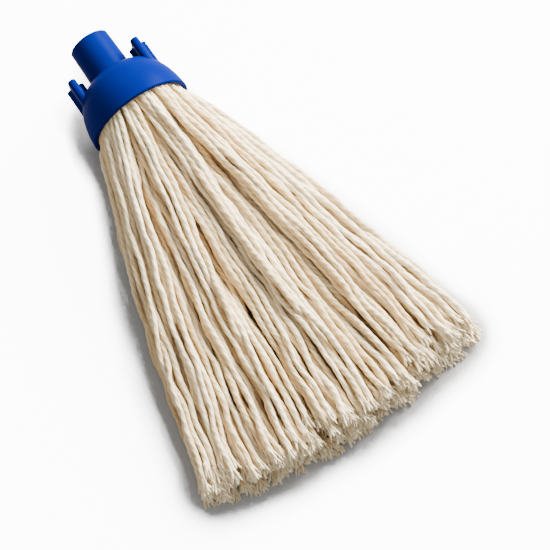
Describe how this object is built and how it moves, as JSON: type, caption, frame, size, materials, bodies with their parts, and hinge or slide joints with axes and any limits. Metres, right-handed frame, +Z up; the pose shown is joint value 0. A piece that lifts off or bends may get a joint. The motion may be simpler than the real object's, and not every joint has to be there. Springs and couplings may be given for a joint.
{
  "type": "string mop head",
  "caption": "String mop head: a moulded plastic socket with a handle tube and two side wings, and a skirt of twisted cotton strands.",
  "frame": {"origin": "on the ground, under the middle of the mop head's whole box", "axes": "+Y along the mop's axis towards the handle, +Z up from the ground that it lies on, +X across the fan of strands"},
  "size_m": [0.2102, 0.3294, 0.0738],
  "materials": {
    "blue_plastic": "satin moulded polypropylene",
    "cotton_yarn": "twisted cotton yarn, unbleached",
    "steel": "drawn steel wire",
    "binding_twine": "cotton twine"
  },
  "bodies": {
    "socket": {"socket_shell": "blue_plastic", "yarn_neck": "cotton_yarn", "retaining_pin": "steel", "binding_band": "binding_twine"},
    "tress_1": {"strands_1_1": "cotton_yarn", "strands_1_2": "cotton_yarn", "strands_1_3": "cotton_yarn", "strands_1_4": "cotton_yarn", "strands_1_5": "cotton_yarn", "strands_1_6": "cotton_yarn", "strands_1_7": "cotton_yarn", "strands_1_8": "cotton_yarn"},
    "tress_2": {"strands_2_1": "cotton_yarn", "strands_2_2": "cotton_yarn", "strands_2_3": "cotton_yarn", "strands_2_4": "cotton_yarn", "strands_2_5": "cotton_yarn", "strands_2_6": "cotton_yarn", "strands_2_7": "cotton_yarn", "strands_2_8": "cotton_yarn"},
    "tress_3": {"strands_3_1": "cotton_yarn", "strands_3_2": "cotton_yarn", "strands_3_3": "cotton_yarn", "strands_3_4": "cotton_yarn", "strands_3_5": "cotton_yarn", "strands_3_6": "cotton_yarn", "strands_3_7": "cotton_yarn", "strands_3_8": "cotton_yarn"},
    "tress_4": {"strands_4_1": "cotton_yarn", "strands_4_2": "cotton_yarn", "strands_4_3": "cotton_yarn", "strands_4_4": "cotton_yarn", "strands_4_5": "cotton_yarn", "strands_4_6": "cotton_yarn", "strands_4_7": "cotton_yarn", "strands_4_8": "cotton_yarn"},
    "tress_5": {"strands_5_1": "cotton_yarn", "strands_5_2": "cotton_yarn", "strands_5_3": "cotton_yarn", "strands_5_4": "cotton_yarn", "strands_5_5": "cotton_yarn", "strands_5_6": "cotton_yarn", "strands_5_7": "cotton_yarn", "strands_5_8": "cotton_yarn"}
  },
  "joints": [
    {"name": "tress_1_lift", "type": "hinge", "parent": "socket", "child": "tress_1", "pos_m": [0, 0.0991, 0.0369], "axis": [-1, 0, 0], "range_deg": [0, 45]},
    {"name": "tress_2_lift", "type": "hinge", "parent": "socket", "child": "tress_2", "pos_m": [0, 0.0991, 0.0369], "axis": [-1, 0, 0], "range_deg": [0, 45]},
    {"name": "tress_3_lift", "type": "hinge", "parent": "socket", "child": "tress_3", "pos_m": [0, 0.0991, 0.0369], "axis": [-1, 0, 0], "range_deg": [0, 45]},
    {"name": "tress_4_lift", "type": "hinge", "parent": "socket", "child": "tress_4", "pos_m": [0, 0.0991, 0.0369], "axis": [-1, 0, 0], "range_deg": [0, 45]},
    {"name": "tress_5_lift", "type": "hinge", "parent": "socket", "child": "tress_5", "pos_m": [0, 0.0991, 0.0369], "axis": [-1, 0, 0], "range_deg": [0, 45]}
  ]
}
